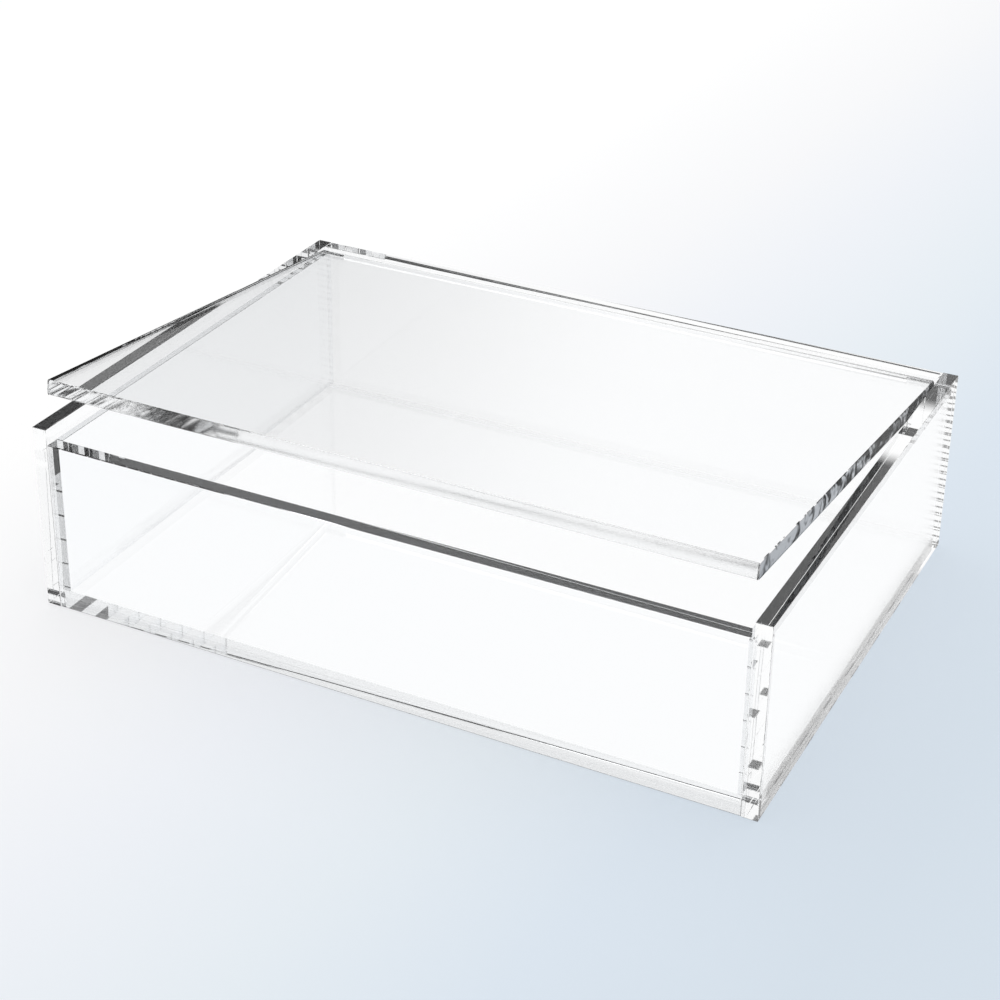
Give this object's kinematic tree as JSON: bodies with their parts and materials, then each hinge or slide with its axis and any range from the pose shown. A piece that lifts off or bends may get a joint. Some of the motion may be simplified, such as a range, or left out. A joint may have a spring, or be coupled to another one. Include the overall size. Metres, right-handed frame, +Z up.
{
  "type": "acrylic storage box with hinged lid",
  "caption": "Clear acrylic box welded from thick polished sheet, with an inset lid that swings on hidden steel pins at the back.",
  "frame": {"origin": "centre of the footprint, on the surface that the box stands on", "axes": "+X along the width to the right side panel, +Y from the front face to the hinge side, +Z up"},
  "size_m": [0.305, 0.216, 0.101],
  "materials": {
    "clear_acrylic": "clear cast sheet with flame-polished edges",
    "liner_acrylic": "clear cast sheet, thinner",
    "lid_acrylic": "clear cast sheet with flame-polished edges",
    "pin_steel": "ground stainless steel"
  },
  "bodies": {
    "box": {"base_panel": "clear_acrylic", "front_panel": "clear_acrylic", "back_panel": "clear_acrylic", "left_side_panel": "clear_acrylic", "right_side_panel": "clear_acrylic", "left_ledge_liner": "liner_acrylic", "right_ledge_liner": "liner_acrylic", "left_hinge_pin": "pin_steel", "right_hinge_pin": "pin_steel"},
    "lid": {"lid": "lid_acrylic"}
  },
  "joints": [
    {"name": "lid_hinge", "type": "hinge", "parent": "box", "child": "lid", "pos_m": [0, 0.09788, 0.07683], "axis": [-1, 0, 0], "range_deg": [-5.9, 92]}
  ]
}
